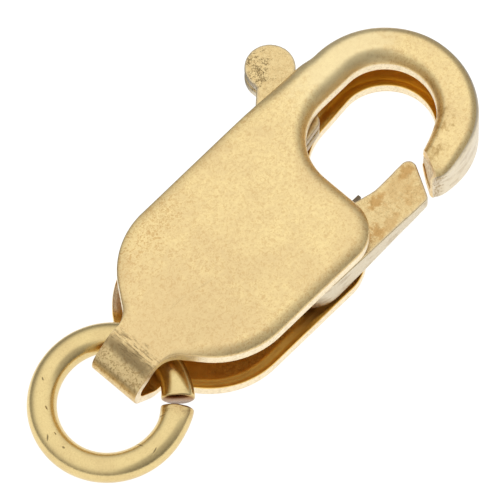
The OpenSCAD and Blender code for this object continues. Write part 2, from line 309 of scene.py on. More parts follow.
def insidePolygon(x, y, polygon):
    hit = False
    for (ax, ay), (bx, by) in zip(polygon, polygon[1:] + polygon[:1]):
        if (ay > y) != (by > y) and x < (bx - ax) * (y - ay) / (by - ay) + ax:
            hit = not hit
    return hit


# Triangles over an outline, with extra points on a grid inside it
def fillOutline(outline, grid):
    xs, ys = [p[0] for p in outline], [p[1] for p in outline]
    points = [Vector(p) for p in outline]
    row = 0
    y = min(ys)
    while y < max(ys):
        x = min(xs) + (row % 2) * grid / 2
        while x < max(xs):
            if insidePolygon(x, y, outline):
                near = min((px - x) ** 2 + (py - y) ** 2 for px, py in outline)
                if near > (grid * 0.55) ** 2:
                    points.append(Vector((x, y)))
            x += grid
        y += grid * 0.866
        row += 1
    loop = list(range(len(outline)))
    made = delaunay_2d_cdt(points, [], [loop], 1, 1e-7)
    return points, [[made[3][v][0] for v in face] for face in made[2]]


# The slight waviness that stamped and worn sheet has
def unevenAt(x, y, z, scale, seed):
    return noise.noise(Vector((x * scale + seed, y * scale - seed, z * scale)))


def buildCase(c):
    lowEdge, highEdge, strip, slants, tailX = caseStations(c)
    hookX = c["shoulderX"] + c["eyeLength"]

    def edgePoints(station, slant):
        x, y, heading, dip, wall, keep = station
        around = math.degrees(math.atan2(y, x - hookX))
        fadeFrom, fadeRun = c["slopeRange"]
        near = 1 - smooth((around - fadeFrom) / fadeRun) if x > hookX - c["slopeBack"] else 0
        section = [mix(a, b, wall) for a, b in zip(openSection(c, dip), walledSection(c, near))]
        side = math.radians(heading + slant)
        stretch = keep ** c["narrowing"] / math.cos(math.radians(slant))
        return [Vector((x - math.sin(side) * p.x * stretch, y + math.cos(side) * p.x * stretch,
                        mix(midZ, p.y, keep))) for p in section]

    def slantNear(stations, end, angle):
        here = [Vector(s[:2]) for s in stations]
        slanted = []
        for i, p in enumerate(here):
            isNear = abs(i - end % len(here)) < c["slantStations"]
            slanted.append(angle * max(0, 1 - (p - here[end]).length / c["slantFade"]) if isNear else 0)
        return slanted

    lowChains = [edgePoints(s, a) for s, a in zip(lowEdge, slantNear(lowEdge, -1, slants[0]))]
    highChains = [edgePoints(s, a) for s, a in zip(highEdge, slantNear(highEdge, 0, slants[1]))]
    chains = lowChains + highChains
    lowCount = len(lowChains)

    points, masks, faces = [], [], []

    def add(point, roll=0.0, rim=0.0, wall=0.0, inside=0.0, plug=0.0):
        points.append(point)
        masks.append((roll, rim, wall, inside, plug))
        return len(points) - 1

    stations = lowEdge + highEdge
    index = []
    for station, chain in zip(stations, chains):
        wall = station[4]
        row = []
        for j, p in enumerate(chain):
            roll = min(1.0, j / topCount)
            onSide = topCount + cornerCount - 2 < j <= footIndex + 2
            row.append(add(
                p,
                roll=roll if j < topCount + cornerCount else 0.0,
                rim=(1 - wall) * (1.0 if onSide else 0.0),
                wall=wall * (1.0 if topCount <= j <= footIndex else 0.0),
                inside=1.0 if j > footIndex + 1 else 0.0))
        index.append(row)

    # across the strip, between the two edges
    tailLow, tailHigh = index[0], index[-1]
    parts = [k / stripCount for k in range(1, stripCount)]
    topAcross = [add(points[tailLow[0]].lerp(points[tailHigh[0]], t)) for t in parts]
    underAcross = [add(points[tailLow[-1]].lerp(points[tailHigh[-1]], t), inside=1.0) for t in parts]
    ring = tailLow + underAcross + tailHigh[::-1] + topAcross[::-1]

    for i in range(len(chains) - 1):
        if i == lowCount - 1:
            continue
        for j in range(chainCount - 1):
            joined = all(abs(points[index[k][footIndex]].z - midZ) < 1e-5 for k in (i, i + 1))
            if j == footIndex and joined:
                continue
            faces.append((index[i][j], index[i + 1][j], index[i + 1][j + 1], index[i][j + 1]))

    # the strip down to its fold
    previous = ring
    for x, z, heading in (s[:3] for s in strip[1:]):
        h = math.radians(heading)
        current = []
        for r in ring:
            rise = points[r].z - strip[0][1]
            bent = Vector((x + rise * math.sin(h), points[r].y, z - rise * math.cos(h)))
            current.append(add(bent, *masks[r]))
        for k in range(len(ring)):
            n = (k + 1) % len(ring)
            faces.append((previous[k], previous[n], current[n], current[k]))
        previous = current

    # the flats over and under, and the two sides of the cut end
    for level, bridge in ((0, topAcross), (-1, underAcross)):
        loop = [row[level] for row in index] + bridge[::-1]
        border = [points[k] for k in loop]
        flat, triangles = fillOutline([(p.x, p.y) for p in border], c["grid"])
        ids = list(loop)
        for p in flat[len(loop):]:
            ids.append(add(Vector((p.x, p.y, heightAt(p, border))), inside=float(level != 0)))
        for face in triangles:
            faces.append(tuple(ids[v] for v in face))
    lowTip, highTip = index[lowCount - 1], index[lowCount]
    for tip in (lowTip, highTip):
        for j in range(chainCount // 2):
            other = chainCount - 1 - j
            quad = [tip[j], tip[j + 1], tip[other - 1], tip[other]]
            if len(set(quad)) > 2:
                faces.append(tuple(dict.fromkeys(quad)))
    faces.append((lowTip[0], highTip[0], highTip[-1], lowTip[-1]))

    # the back shell: the same, turned over, its body a little nearer the tail
    half = len(points)
    outCorner, inCorner = Vector(highEdge[0][:2]), Vector(lowEdge[-1][:2])
    for p, m in list(zip(points, masks)):
        onBody = between(p.x, tailX, *c["bodySpan"])
        onArm = between(p.x, *c["armSpanX"]) * between(p.y, *c["armSpanY"])
        drawn = 1 - c["tipPinch"] * math.exp(-((p.xy - inCorner).length / c["tipReach"]) ** 2)
        drawn += c["tipDrop"] * math.exp(-((p.xy - outCorner).length / c["tipReach"]) ** 2)
        back = Vector((c["backShift"] * onBody, c["armShift"] * onArm, 0))
        points.append(Vector((p.x, p.y, midZ - (p.z - midZ) * drawn)) + back)
        masks.append(m)
    faces += [tuple(v + half for v in reversed(face)) for face in faces]

    # the front shell's corner at the tip droops and hangs out
    for p in points[:half]:
        near = math.exp(-((p.xy - outCorner).length / c["tipReach"]) ** 2)
        rise = (p.z - midZ) * (1 - c["tipDroop"] * near)
        p.z = midZ + rise
        p.y -= c["tipHang"] * near * rise

    # the cut's outer corner is worn round
    slant = math.radians(c["tipSlant"])
    inward = Vector((math.cos(slant), -math.sin(slant), 0))
    across = Vector((math.sin(slant), math.cos(slant), 0))
    for p in points:
        worn = c["tipWorn"] * math.exp(-((p.xy - outCorner).length / c["tipWornReach"]) ** 2)
        p += (inward + across).normalized() * worn

    # the worn metal that closes the hook's end, a little way in
    inner, outer = lowTip[footIndex + 1:], highTip[footIndex + 1:]
    rim = [points[k] for k in inner + outer[::-1]] + [points[half + k] for k in outer + inner[::-1]]
    middle = sum(rim, Vector()) / len(rim)
    deep = inward * c["plugDepth"]
    faces.append(tuple(add(middle + (p - middle) * c["plugOver"] + deep, plug=1.0) for p in rim))
    return points, masks, faces


# Height of a flat at p, from the heights of the outline round it
def heightAt(p, outline):
    total, share = 0.0, 0.0
    for q in outline:
        weight = 1 / ((p.x - q.x) ** 2 + (p.y - q.y) ** 2) ** 2
        total += q.z * weight
        share += weight
    return total / share


weldDistance, sliverLength = 0.002, 0.0005


def makeMesh(name, points, faces, masks, maskNames, sharpAngle=38):
    mesh = bpy.data.meshes.new(name)
    mesh.from_pydata([inFrame(*p) for p in points], [], faces)
    for k, maskName in enumerate(maskNames):
        layer = mesh.attributes.new(maskName, "FLOAT", "POINT")
        layer.data.foreach_set("value", [m[k] for m in masks])
    work = bmesh.new()
    work.from_mesh(mesh)
    bmesh.ops.remove_doubles(work, verts=work.verts, dist=weldDistance * mm)
    bmesh.ops.dissolve_degenerate(work, edges=work.edges, dist=sliverLength * mm)
    bmesh.ops.recalc_face_normals(work, faces=work.faces)
    work.to_mesh(mesh)
    work.free()
    for polygon in mesh.polygons:
        polygon.use_smooth = True
    mesh.set_sharp_from_angle(angle=math.radians(sharpAngle))
    piece = bpy.data.objects.new(name, mesh)
    bpy.context.scene.collection.objects.link(piece)
    return piece


casePoints, caseMasks, caseFaces = buildCase(caseShape)
for p in casePoints:
    uneven = unevenAt(p.x, p.y, 0, caseShape["unevenScale"], caseShape["unevenSeed"])
    p.z += caseShape["unevenness"] * uneven * smooth(abs(p.z - midZ) / caseShape["unevenRise"])
caseMaskNames = ("roll", "rim", "wall", "inside", "plug")
casePiece = makeMesh("case_shell", casePoints, caseFaces, caseMasks, caseMaskNames)
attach(casePiece, "clasp")
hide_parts("case")
print("case:", len(casePiece.data.polygons), "faces")

# The ring, a length of round wire bent round, with the two cut ends a little apart
ringShape = {
    "outer": 4.42,
    "wire": 0.8,
    "aside": -0.03,  # how far the ring lies to one side of its hinge
    "cutAt": -51,
    "gap": 7,
    "flare": 0.12,  # the pinched ends are this much wider
    "flareRun": 0.4,
    "around": 56,
    "along": 380,
    "endSoft": 0.06,
    "endKeep": 0.86,
    "cutReach": 0.03,
    "pinchRun": 0.42,
    "dent": 0.03,
    "dentScale": 5,
}


def buildRing(c):
    hinge = joints["ring_hinge"]["pos_m"]
    at = inPlan(Vector(hinge)) + Vector((0, c["aside"], 0))
    wire = c["wire"] / 2
    radius = c["outer"] / 2 - wire
    lean = math.asin((at.z - wire) / (2 * radius))
    place = Matrix.Translation(at) @ Matrix.Rotation(-lean, 4, "Y") @ Matrix.Translation((-radius, 0, 0))
    start = c["cutAt"] + c["gap"] / 2
    sweep = 360 - c["gap"]
    points, masks, faces = [], [], []
    for i in range(c["along"] + 1):
        t = i / c["along"]
        a = math.radians(start + sweep * t)
        length = math.radians(sweep) * radius
        fromEnd = min(t, 1 - t) * length
        soft = math.sqrt(1 - (1 - min(fromEnd / c["endSoft"], 1)) ** 2)
        r = wire * mix(c["endKeep"], 1, soft)
        wider = r * (1 + c["flare"] * math.exp(-(fromEnd / c["flareRun"]) ** 2))
        cut = math.exp(-(fromEnd / c["cutReach"]) ** 2)
        pinch = smooth(1 - fromEnd / c["pinchRun"]) if t > 0.5 else 0
        for k in range(c["around"]):
            b = 2 * math.pi * k / c["around"]
            out = radius + wider * math.cos(b)
            high = r * math.sin(b)
            dent = c["dent"] * pinch * max(math.sin(b), 0) ** 2
            dent *= 0.6 + unevenAt(out, high, a * 3, c["dentScale"], 0.3)
            points.append(place @ Vector((out * math.cos(a), out * math.sin(a), high - dent)))
            masks.append((cut, pinch))
    n = c["around"]
    for i in range(c["along"]):
        for k in range(n):
            m = (k + 1) % n
            faces.append((i * n + k, i * n + m, (i + 1) * n + m, (i + 1) * n + k))
    faces.append(tuple(range(n)))
    faces.append(tuple(range(c["along"] * n + n - 1, c["along"] * n - 1, -1)))
    return points, masks, faces


ringPoints, ringMasks, ringFaces = buildRing(ringShape)
ringPiece = makeMesh("ring_wire", ringPoints, ringFaces, ringMasks, ("cut", "pinch"), 60)
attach(ringPiece, "ring")
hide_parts("jump_ring")
print("ring:", len(ringPiece.data.polygons), "faces")

# The trigger, from its solid, with worn edges and its two layers closed up in the thumb tab
leverShape = {
    "voxel": 0.03,
    "rounds": 6,
    "thumbX": 3.31,
    "thumbY": 3.25,
    "thumbFill": 0.62,
    "fillZ": 1.215,
    "fillDepth": 0.3,
    "wornAt": 0.0035,
    "sideFrom": 0.3,  # how upright a face is, from one that lies to one that stands
    "sideRun": 0.35,
}


def buildLever(c):
    mesh = frame["nodes"]["trigger"].data.copy()
    mesh.name = "trigger_sheet"
    piece = bpy.data.objects.new("trigger_sheet", mesh)
    bpy.context.scene.collection.objects.link(piece)
    piece.data.materials.clear()
    fill = bmesh.new()
    fill.from_mesh(mesh)
    at = Matrix.Translation(inFrame(c["thumbX"], c["thumbY"], c["fillZ"]))
    radius = c["thumbFill"] * mm
    bmesh.ops.create_cone(fill, cap_ends=True, segments=48, radius1=radius, radius2=radius,
                          depth=c["fillDepth"] * mm, matrix=at)
    fill.to_mesh(mesh)
    fill.free()
    remesh = piece.modifiers.new("closed", "REMESH")
    remesh.mode = "VOXEL"
    remesh.voxel_size = c["voxel"] * mm
    soften = piece.modifiers.new("worn", "SMOOTH")
    soften.factor = 0.5
    soften.iterations = c["rounds"]
    graph = bpy.context.evaluated_depsgraph_get()
    made = bpy.data.meshes.new_from_object(piece.evaluated_get(graph))
    piece.modifiers.clear()
    piece.data = made
    for polygon in made.polygons:
        polygon.use_smooth = True
    normals = [v.normal.copy() for v in made.vertices]
    places = [v.co.copy() for v in made.vertices]
    pull = [Vector() for _ in places]
    count = [0] * len(places)
    for edge in made.edges:
        a, b = edge.vertices
        pull[a] += places[b]
        pull[b] += places[a]
        count[a] += 1
        count[b] += 1
    side = [1 - smooth((abs(n.z) - c["sideFrom"]) / c["sideRun"]) for n in normals]
    worn = []
    for p, q, m, n in zip(places, pull, count, normals):
        worn.append(smooth((p - q / max(m, 1)).dot(n) / (c["wornAt"] * mm)))
    for name, values in (("side", side), ("worn", worn)):
        made.attributes.new(name, "FLOAT", "POINT").data.foreach_set("value", values)
    return piece


leverPiece = buildLever(leverShape)
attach(leverPiece, "lever")
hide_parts("trigger")
print("trigger:", len(leverPiece.data.polygons), "faces")

# Finishes. Colours are linear, places are in millimetres on the plan
def newGroup(name, sockets):
    tree = bpy.data.node_groups.new(name, "ShaderNodeTree")
    for label, way, kind, value in sockets:
        socket = tree.interface.new_socket(label, in_out=way, socket_type=kind)
        if value is not None:
            socket.default_value = value
    return tree, tree.nodes.new("NodeGroupInput"), tree.nodes.new("NodeGroupOutput")


def addNode(tree, kind, settings=(), values=(), links=()):
    node = tree.nodes.new(kind)
    for key, value in dict(settings).items():
        setattr(node, key, value)
    for key, value in dict(values).items():
        node.inputs[key].default_value = value
    for key, source in dict(links).items():
        tree.links.new(source, node.inputs[key])
    return node


def vectorMath(tree, operation, a, b):
    node = addNode(tree, "ShaderNodeVectorMath", {"operation": operation})
    for k, value in enumerate((a, b)):
        if isinstance(value, (tuple, Vector)):
            node.inputs[k].default_value = value
        else:
            tree.links.new(value, node.inputs[k])
    return node.outputs["Vector"]


def maths(tree, operation, a, b=0.5, clamp=False):
    node = addNode(tree, "ShaderNodeMath", {"operation": operation, "use_clamp": clamp})
    for k, value in enumerate((a, b)):
        if isinstance(value, (int, float)):
            node.inputs[k].default_value = value
        else:
            tree.links.new(value, node.inputs[k])
    return node.outputs[0]


def noiseOf(tree, place, scale, detail, roughness, twist=0):
    values = {"Detail": detail, "Roughness": roughness, "Distortion": twist}
    links = {"Vector": place}
    if isinstance(scale, (int, float)):
        values["Scale"] = scale
    else:
        links["Scale"] = scale
    return addNode(tree, "ShaderNodeTexNoise", values=values, links=links).outputs[0]


def ranged(tree, value, low, high, toLow=0.0, toHigh=1.0):
    node = addNode(tree, "ShaderNodeMapRange", {"interpolation_type": "SMOOTHSTEP"},
                   {1: low, 2: high, 3: toLow, 4: toHigh}, {0: value})
    return node.outputs[0]


# Tumbled satin: fine grain, dark specks and slow clouds of tarnish
def buildGrain():
    tree, given, out = newGroup("tumbled_grain", [
        ("Place", "INPUT", "NodeSocketVector", None),
        ("Scale", "INPUT", "NodeSocketFloat", 1.0),
        ("Speck Scale", "INPUT", "NodeSocketFloat", 10.0),
        ("Height", "OUTPUT", "NodeSocketFloat", None),
        ("Specks", "OUTPUT", "NodeSocketFloat", None),
        ("Grain", "OUTPUT", "NodeSocketFloat", None),
        ("Cloud", "OUTPUT", "NodeSocketFloat", None),
    ])
    place = vectorMath(tree, "SCALE", given.outputs["Place"], (0, 0, 0))
    tree.links.new(given.outputs["Scale"], place.node.inputs["Scale"])
    fine = noiseOf(tree, place, 11, 3, 0.62)
    warped = vectorMath(tree, "ADD", place, (3.7, 1.9, 0.4))
    specks = noiseOf(tree, warped, given.outputs["Speck Scale"], 4, 0.66, 1.6)
    cloud = noiseOf(tree, place, 0.75, 4, 0.58)
    tree.links.new(fine, out.inputs["Height"])
    tree.links.new(ranged(tree, specks, 0.48, 0.62), out.inputs["Specks"])
    tree.links.new(ranged(tree, fine, 0.3, 0.7), out.inputs["Grain"])
    tree.links.new(ranged(tree, cloud, 0.36, 0.66), out.inputs["Cloud"])
    return tree


# Thin lines that run one way, such as scratches and the creases across a bend
def buildLines():
    tree, given, out = newGroup("fine_lines", [
        ("Place", "INPUT", "NodeSocketVector", None),
        ("Turn", "INPUT", "NodeSocketFloat", 0.0),
        ("Stretch", "INPUT", "NodeSocketVector", (1.0, 12.0, 1.0)),
        ("Thin", "INPUT", "NodeSocketFloat", 0.6),
        ("Lines", "OUTPUT", "NodeSocketFloat", None),
    ])
    turned = addNode(tree, "ShaderNodeVectorRotate", {"rotation_type": "Z_AXIS"},
                     links={"Vector": given.outputs["Place"], "Angle": given.outputs["Turn"]})
    drawn = vectorMath(tree, "MULTIPLY", turned.outputs[0], given.outputs["Stretch"])
    lines = noiseOf(tree, drawn, 1, 3, 0.6)
    raised = maths(tree, "SUBTRACT", lines, given.outputs["Thin"])
    tree.links.new(maths(tree, "MULTIPLY", raised, 9, True), out.inputs["Lines"])
    return tree


# One soft oval patch at a place on the plan
def buildPatch():
    tree, given, out = newGroup("soft_patch", [
        ("Place", "INPUT", "NodeSocketVector", None),
        ("Centre", "INPUT", "NodeSocketVector", None),
        ("Size", "INPUT", "NodeSocketVector", (1.0, 1.0, 9.0)),
        ("Turn", "INPUT", "NodeSocketFloat", 0.0),
        ("Ragged", "INPUT", "NodeSocketFloat", 0.5),
        ("Mask", "OUTPUT", "NodeSocketFloat", None),
    ])
    moved = vectorMath(tree, "SUBTRACT", given.outputs["Place"], given.outputs["Centre"])
    turned = addNode(tree, "ShaderNodeVectorRotate", {"rotation_type": "Z_AXIS"},
                     links={"Vector": moved, "Angle": given.outputs["Turn"]})
    shrunk = vectorMath(tree, "DIVIDE", turned.outputs[0], given.outputs["Size"])
    reach = addNode(tree, "ShaderNodeVectorMath", {"operation": "LENGTH"}, links={0: shrunk})
    rag = noiseOf(tree, given.outputs["Place"], 5, 4, 0.65)
    rag = maths(tree, "MULTIPLY", maths(tree, "SUBTRACT", rag, 0.5), given.outputs["Ragged"])
    edge = maths(tree, "ADD", reach.outputs["Value"], maths(tree, "MULTIPLY", rag, 4))
    tree.links.new(ranged(tree, edge, 1.0, 0.3), out.inputs["Mask"])
    return tree


grainGroup = buildGrain()
linesGroup = buildLines()
patchGroup = buildPatch()


# One piece's finish: colours painted over each other by masks, and bumps added up
class Finish:
    def __init__(self, name, roughness, metallic=1.0):
        self.material = bpy.data.materials.new(name)
        self.material.use_nodes = True
        self.tree = self.material.node_tree
        self.shader = self.tree.nodes["Principled BSDF"]
        self.shader.inputs["Metallic"].default_value = metallic
        self.shader.inputs["Roughness"].default_value = roughness
        coords = self.tree.nodes.new("ShaderNodeTexCoord")
        self.place = vectorMath(self.tree, "SCALE", coords.outputs["Object"], (0, 0, 0))
        self.place.node.inputs["Scale"].default_value = 1 / mm
        self.color = None
        self.heights = []

    def group(self, tree, **values):
        node = addNode(self.tree, "ShaderNodeGroup", {"node_tree": tree}, links={"Place": self.place})
        for key, value in values.items():
            node.inputs[key].default_value = value
        return node

    def patch(self, x, y, z, size, turn=0, ragged=0.5):
        at = inFrame(x, y, z) / mm
        node = self.group(patchGroup, Centre=at, Size=(*size, 9), Turn=math.radians(-turn), Ragged=ragged)
        return node.outputs["Mask"]

    def mask(self, name):
        return addNode(self.tree, "ShaderNodeAttribute", {"attribute_name": name}).outputs["Fac"]

    def times(self, a, b):
        return maths(self.tree, "MULTIPLY", a, b, True)

    def paint(self, color, amount):
        node = addNode(self.tree, "ShaderNodeMix", {"data_type": "RGBA"}, {7: (*color, 1)})
        if self.color is None:
            node.inputs[0].default_value = 1
        elif isinstance(amount, (int, float)):
            node.inputs[0].default_value = amount
        else:
            self.tree.links.new(amount, node.inputs[0])
        if self.color is not None:
            self.tree.links.new(self.color, node.inputs[6])
        self.color = node.outputs[2]

    def bump(self, height, depth):
        self.heights.append(maths(self.tree, "MULTIPLY", height, depth))

    def done(self, roughness=None):
        self.tree.links.new(self.color, self.shader.inputs["Base Color"])
        if roughness is not None:
            self.tree.links.new(roughness, self.shader.inputs["Roughness"])
        if self.heights:
            total = self.heights[0]
            for height in self.heights[1:]:
                total = maths(self.tree, "ADD", total, height)
            bump = addNode(self.tree, "ShaderNodeBump", values={"Strength": 1, "Distance": mm},
                           links={"Height": total})
            self.tree.links.new(bump.outputs[0], self.shader.inputs["Normal"])
        return self.material


def dress(piece, material):
    piece.data.materials.clear()
    piece.data.materials.append(material)


# Patches are x, y, z, (length, width), turn, raggedness
caseLook = {
    "gold": (0.925, 0.73, 0.355),
    # painted highlight colour, used on the top of the hook's bend
    "pale": (0.97, 0.82, 0.47),
    "tan": (0.77, 0.575, 0.29),
    "speck": (0.60, 0.36, 0.13),
    "brown": (0.33, 0.21, 0.075),
    "patina": (0.20, 0.135, 0.06),
    "tarnishTone": (0.46, 0.29, 0.10),
    # painted sheen: the cut edges are painted pale cream for the glow of the white surround on them
    "rim": (0.97, 0.84, 0.60),
    # painted sheen: the hook's outer wall is painted pale cream for the glow of the white floor and surround
    # on it
    "wall": (0.77, 0.67, 0.49),
    # painted reflection: the inner faces are painted deep orange for light bounced between the gold walls,
    # clouded darker
    "inside": (0.93, 0.60, 0.14),
    "insideDark": (0.68, 0.38, 0.075),
    "roughness": (0.33, 0.43),
    "grainDepth": 0.0045,
    "cloudDepth": 0.0015,
    "creaseDepth": -0.008,
    "speckle": 0.36,  # how strong the specks are everywhere, then how much more on the edges and the tail
    "edgeSpeckle": 0.2,
    "tailSpeckle": 0.6,
    "tailward": (-4.5, -0.4, 2.4, (3.4, 2.8), 0, 0.35),
    "hookHighlight": (4.5, 1.75, 2.4, (2.4, 1.1), 0, 0.3),  # painted highlight: the top of the hook's bend is painted paler
    "farSide": (-2.8, 1.95, 2.4, (1.9, 0.7), 6, 0.5),
    # the strip: hairline creases by the bend, a dark band under them, then mottled to the fold
    "creaseBand": (-5.42, 0, 2.2, (0.36, 1.3), 0, 0.5),
    "darkBand": (-5.64, -0.05, 2.2, (0.25, 1.5), 0, 0.18),
    "mottledBand": (-6.0, 0, 2.0, (0.4, 1.5), 0, 0.3),
    # painted reflection: a thin dark line along the fold, for the dark horizon reflected there
    "fold": (-6.17, 0, 1.5, (0.07, 1.6), 0, 0.05),
    "wornWall": (3.75, -2.3, 1.5, (0.4, 0.35), 0, 1.0),
    "sliver": (-4.06, 1.93, 0.3, (0.6, 0.35), 50, 0.3),  # the back shell's rim beside the ring, its inner face given the rim's painted sheen
    "tip": (3.4, -2.0, 1.0, (1.0, 0.9), 0, 0.1),
    # a faint scratch that wanders over the flat, and its depths
    "scratch": (
        ((-3.75, 0.03, 2.4, (0.62, 0.035), -2, 0.03), -0.006),
        ((-2.95, -0.13, 2.4, (0.5, 0.03), -14, 0.03), -0.005),
    ),
    # brown tarnish along the hook's inner edge: a patch and its strength
    "tarnish": (
        ((5.1, -1.0, 2.2, (0.55, 0.32), -65, 0.8), 0.85),
        ((4.85, -1.4, 2.2, (0.45, 0.28), -50, 0.8), 0.85),
        ((4.2, -1.8, 2.2, (0.45, 0.24), -15, 0.8), 0.8),
        ((3.85, -1.85, 2.2, (0.2, 0.16), 0, 0.8), 0.9),
        ((5.3, 0.3, 2.2, (0.5, 0.22), -80, 0.8), 0.25),
    ),
}


def caseFinish(look):
    f = Finish("tumbled_gold", 0.38)
    grain = f.group(grainGroup, Scale=1.0)
    specks = grain.outputs["Specks"]
    f.paint(look["gold"], 1)
    f.paint(look["tan"], f.times(grain.outputs["Cloud"], 0.6))
    f.paint(look["tan"], f.times(grain.outputs["Grain"], 0.5))
    edge = f.mask("roll")
    # painted shade: the rolled edges are darkened a little towards the rim, where the surface turns away
    f.paint(look["brown"], f.times(maths(f.tree, "POWER", edge, 2.5), 0.08))
    tailward = f.patch(*look["tailward"])
    amount = maths(f.tree, "ADD", f.times(edge, look["edgeSpeckle"]), look["speckle"])
    amount = maths(f.tree, "ADD", f.times(tailward, look["tailSpeckle"]), amount)
    f.paint(look["speck"], f.times(specks, amount))
    f.paint(look["tan"], f.times(tailward, 0.7))
    # painted highlight: the top of the hook's bend is painted paler
    f.paint(look["pale"], f.times(f.patch(*look["hookHighlight"]), 0.6))
    f.paint(look["speck"], f.times(f.times(f.patch(*look["farSide"]), specks), 0.5))
    mottled = maths(f.tree, "ADD", f.times(grain.outputs["Grain"], 0.8), 0.2)
    for spot, strength in look["tarnish"]:
        f.paint(look["tarnishTone"], f.times(f.times(f.patch(*spot), strength), mottled))
    f.paint(look["patina"], f.times(f.patch(*look["darkBand"]), 0.75))
    f.paint(look["brown"], f.times(f.times(f.patch(*look["mottledBand"]), specks), 0.75))
    creases = f.group(linesGroup, Stretch=(20.0, 2.6, 2.0), Thin=0.5)
    creased = f.times(f.patch(*look["creaseBand"]), creases.outputs["Lines"])
    f.paint(look["patina"], f.times(creased, 0.6))
    # painted reflection: a dark line along the strip's fold
    f.paint(look["brown"], f.times(f.patch(*look["fold"]), 0.55))
    rim = f.mask("rim")
    # painted sheen: pale cream on the cut edges
    f.paint(look["rim"], f.times(rim, 0.85))
    f.paint(look["brown"], f.times(f.times(rim, specks), 0.3))
    wall = f.mask("wall")
    # painted sheen: pale cream on the hook's outer wall
    f.paint(look["wall"], wall)
    streaks = f.group(linesGroup, Stretch=(1.3, 1.3, 3.0), Thin=0.5)
    f.paint(look["brown"], f.times(f.times(wall, streaks.outputs["Lines"]), 0.28))
    wornWall = f.times(wall, f.patch(*look["wornWall"]))
    f.paint(look["brown"], f.times(wornWall, f.times(grain.outputs["Grain"], 0.9)))
    inside = f.mask("inside")
    # painted reflection: deep orange on the inner faces for light bounced between the gold walls, with
    # darker clouds
    f.paint(look["inside"], inside)
    f.paint(look["insideDark"], f.times(f.times(inside, grain.outputs["Cloud"]), 0.8))
    # painted sheen: the back shell's rim beside the ring is painted pale on its inner face
    f.paint(look["rim"], f.times(f.times(inside, f.patch(*look["sliver"])), 0.8))
    # near the tip the inner faces get the wall's painted sheen in place of the painted bounce orange
    f.paint(look["wall"], f.times(f.times(inside, f.patch(*look["tip"])), 0.9))
    plug = f.mask("plug")
    f.paint(look["tan"], plug)
    f.paint(look["brown"], f.times(f.times(plug, grain.outputs["Grain"]), 0.75))
    for mark, depth in look["scratch"]:
        f.bump(f.patch(*mark), depth)
    f.bump(grain.outputs["Height"], look["grainDepth"])
    f.bump(grain.outputs["Cloud"], look["cloudDepth"])
    f.bump(creased, look["creaseDepth"])
    low, high = look["roughness"]
    return f.done(ranged(f.tree, grain.outputs["Grain"], 0, 1, low, high))


leverLook = {
    "gold": (0.83, 0.64, 0.32),
    "orange": (0.60, 0.36, 0.13),
    # painted sheen: upright faces are painted pale cream for the glow of the white surround on them
    "side": (0.70, 0.62, 0.47),
    "brown": (0.30, 0.18, 0.06),
    "pit": (0.30, 0.19, 0.07),
    "roughness": (0.33, 0.48),
    "grainDepth": 0.0025,
    "thumbPits": (2.95, 3.42, 1.5, (0.62, 0.42), 50, 1.0),
    "pitDepth": -0.008,
    # painted shade: the gate's face at the eye's corner, in shade under the front shell, is painted brown
    "eyeCornerShade": (2.55, 1.1, 1.4, (0.8, 0.35), 15, 0.2),
    # tarnish on the gate: a patch and its strength
    "mottles": (
        ((3.5, -1.52, 1.5, (0.42, 0.21), 10, 0.9), 0.85),
        ((2.3, -1.5, 1.5, (0.39, 0.24), 10, 0.9), 0.9),
        ((1.62, -2.1, 1.5, (0.3, 0.24), 0, 0.9), 0.9),
        ((2.0, -2.25, 1.5, (0.75, 0.21), 5, 0.9), 0.5),
        ((3.0, -1.65, 1.5, (1.05, 0.45), 0, 0.9), 0.35),
        ((3.3, -2.1, 1.5, (0.75, 0.3), 0, 0.9), 0.35),
    ),
}


def leverFinish(look):
    f = Finish("satin_gold", 0.4)
    grain = f.group(grainGroup, Scale=1.15)
    f.paint(look["gold"], 1)
    for spot, strength in look["mottles"]:
        f.paint(look["orange"], f.times(f.patch(*spot), strength))
    f.paint(look["orange"], f.times(grain.outputs["Grain"], 0.2))
    f.paint(look["brown"], f.times(grain.outputs["Specks"], 0.3))
    side = f.mask("side")
    # painted sheen: the trigger's upright faces are painted pale
    f.paint(look["side"], f.times(side, 0.9))
    streaks = f.group(linesGroup, Stretch=(1.6, 1.6, 4.0), Thin=0.53)
    f.paint(look["brown"], f.times(f.times(side, streaks.outputs["Lines"]), 0.35))
    pitted = f.times(f.patch(*look["thumbPits"]), grain.outputs["Specks"])
    f.paint(look["pit"], f.times(pitted, 0.75))
    # painted shade: brown on the gate's face where it lies under the front shell's rim
    f.paint(look["brown"], f.times(f.patch(*look["eyeCornerShade"]), 0.55))
    # convex edges painted paler: partly rubbed metal, partly a painted highlight
    f.paint(look["side"], f.times(f.mask("worn"), 0.4))
    f.bump(grain.outputs["Height"], look["grainDepth"])
    f.bump(pitted, look["pitDepth"])
    low, high = look["roughness"]
    return f.done(ranged(f.tree, grain.outputs["Grain"], 0, 1, low, high))


